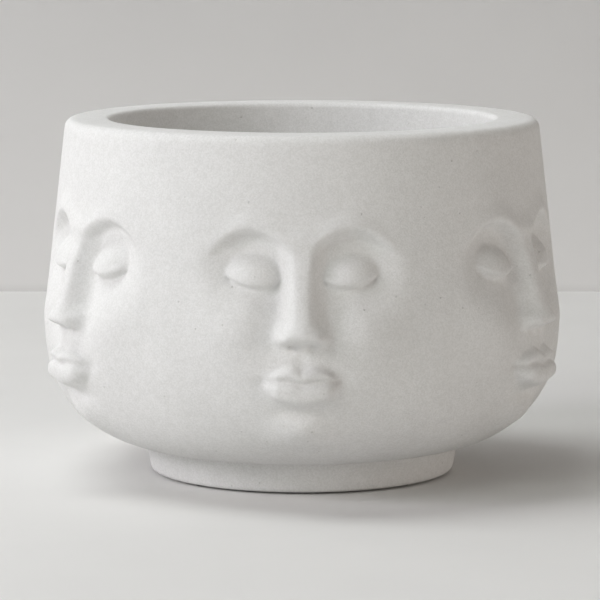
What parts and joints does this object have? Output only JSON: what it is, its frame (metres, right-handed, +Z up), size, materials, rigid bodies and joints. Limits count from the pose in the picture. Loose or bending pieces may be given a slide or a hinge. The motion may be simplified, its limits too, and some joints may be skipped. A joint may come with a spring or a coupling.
{
  "type": "head planter",
  "caption": "Footed bowl planter in matte white cast stone, with calm closed-eyed faces in low relief round its wall, a pull-out drain plug, a loose drain screen and rubber foot pads.",
  "frame": {"origin": "on the table, on the bowl's axis", "axes": "+Z up along the bowl's axis, -Y towards the front face"},
  "size_m": [0.2048, 0.2154, 0.142],
  "materials": {
    "cast_stone": "matte, fine sandy grain",
    "plug_rubber": "matte",
    "screen_plastic": "matte",
    "pad_rubber": "matte"
  },
  "bodies": {
    "pot": {"pot_body": "cast_stone", "foot_pad_1": "pad_rubber", "foot_pad_2": "pad_rubber", "foot_pad_3": "pad_rubber", "foot_pad_4": "pad_rubber"},
    "plug": {"drain_plug": "plug_rubber"},
    "screen": {"drain_screen": "screen_plastic"}
  },
  "joints": [
    {"name": "plug_pull", "type": "slide", "parent": "pot", "child": "plug", "axis": [0, 0, -1], "range_m": [0, 0.024]},
    {"name": "screen_lift", "type": "slide", "parent": "pot", "child": "screen", "axis": [0, 0, 1], "range_m": [0, 0.15]}
  ]
}
